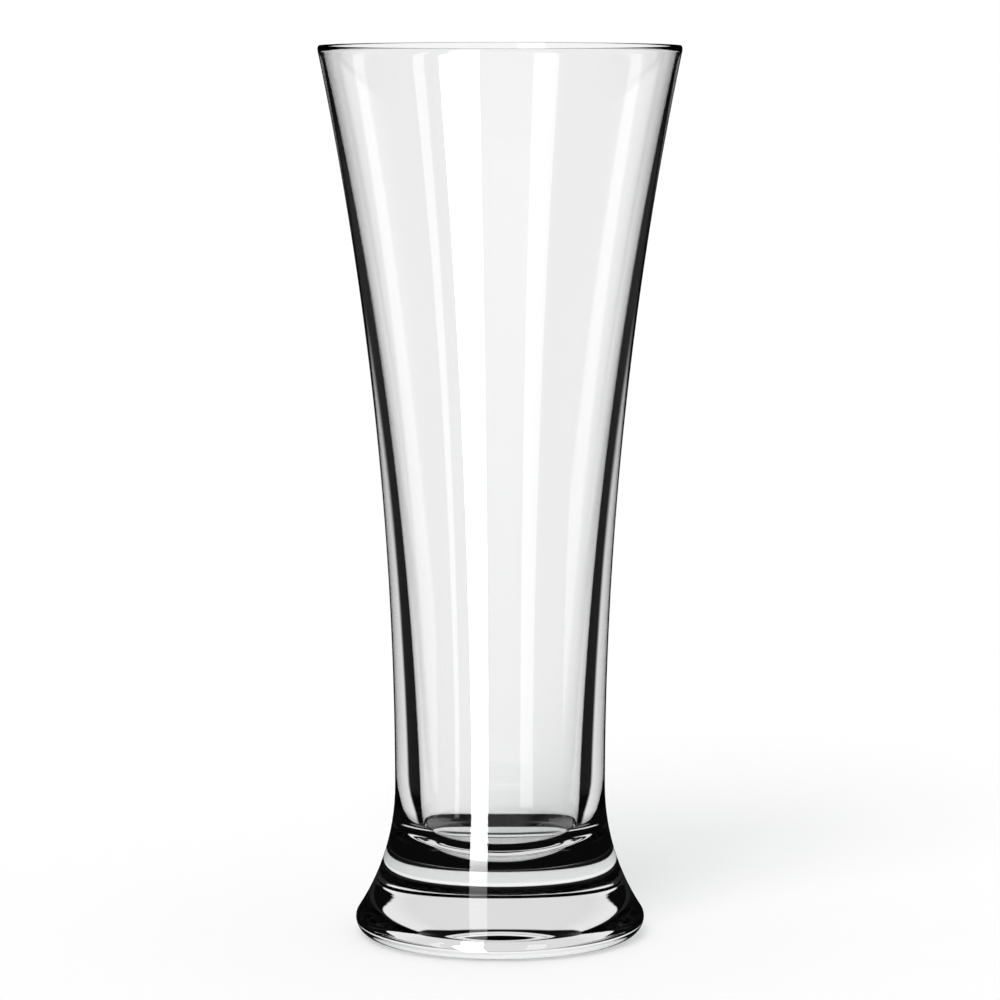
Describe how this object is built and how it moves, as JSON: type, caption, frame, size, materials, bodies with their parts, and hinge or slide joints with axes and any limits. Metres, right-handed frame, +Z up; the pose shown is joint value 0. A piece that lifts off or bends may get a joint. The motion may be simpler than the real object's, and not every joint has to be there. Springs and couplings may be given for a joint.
{
  "type": "pilsner glass",
  "caption": "Clear flared pilsner glass: thin-lipped tall bowl that narrows to a thick waist over a heavy solid base and a spread foot, for serving beer.",
  "frame": {"origin": "centre of the foot, in the plane of the table that the bearing ring stands on", "axes": "+Z up along the axis of revolution, from the foot to the mouth; X and Y are alike, because the glass is round"},
  "size_m": [0.08, 0.08, 0.1974],
  "materials": {
    "clear_glass": "fire-polished clear soda-lime glass"
  },
  "bodies": {
    "root": {"foot": "clear_glass", "sham": "clear_glass", "waist": "clear_glass", "bowl": "clear_glass", "lip": "clear_glass"}
  },
  "joints": []
}
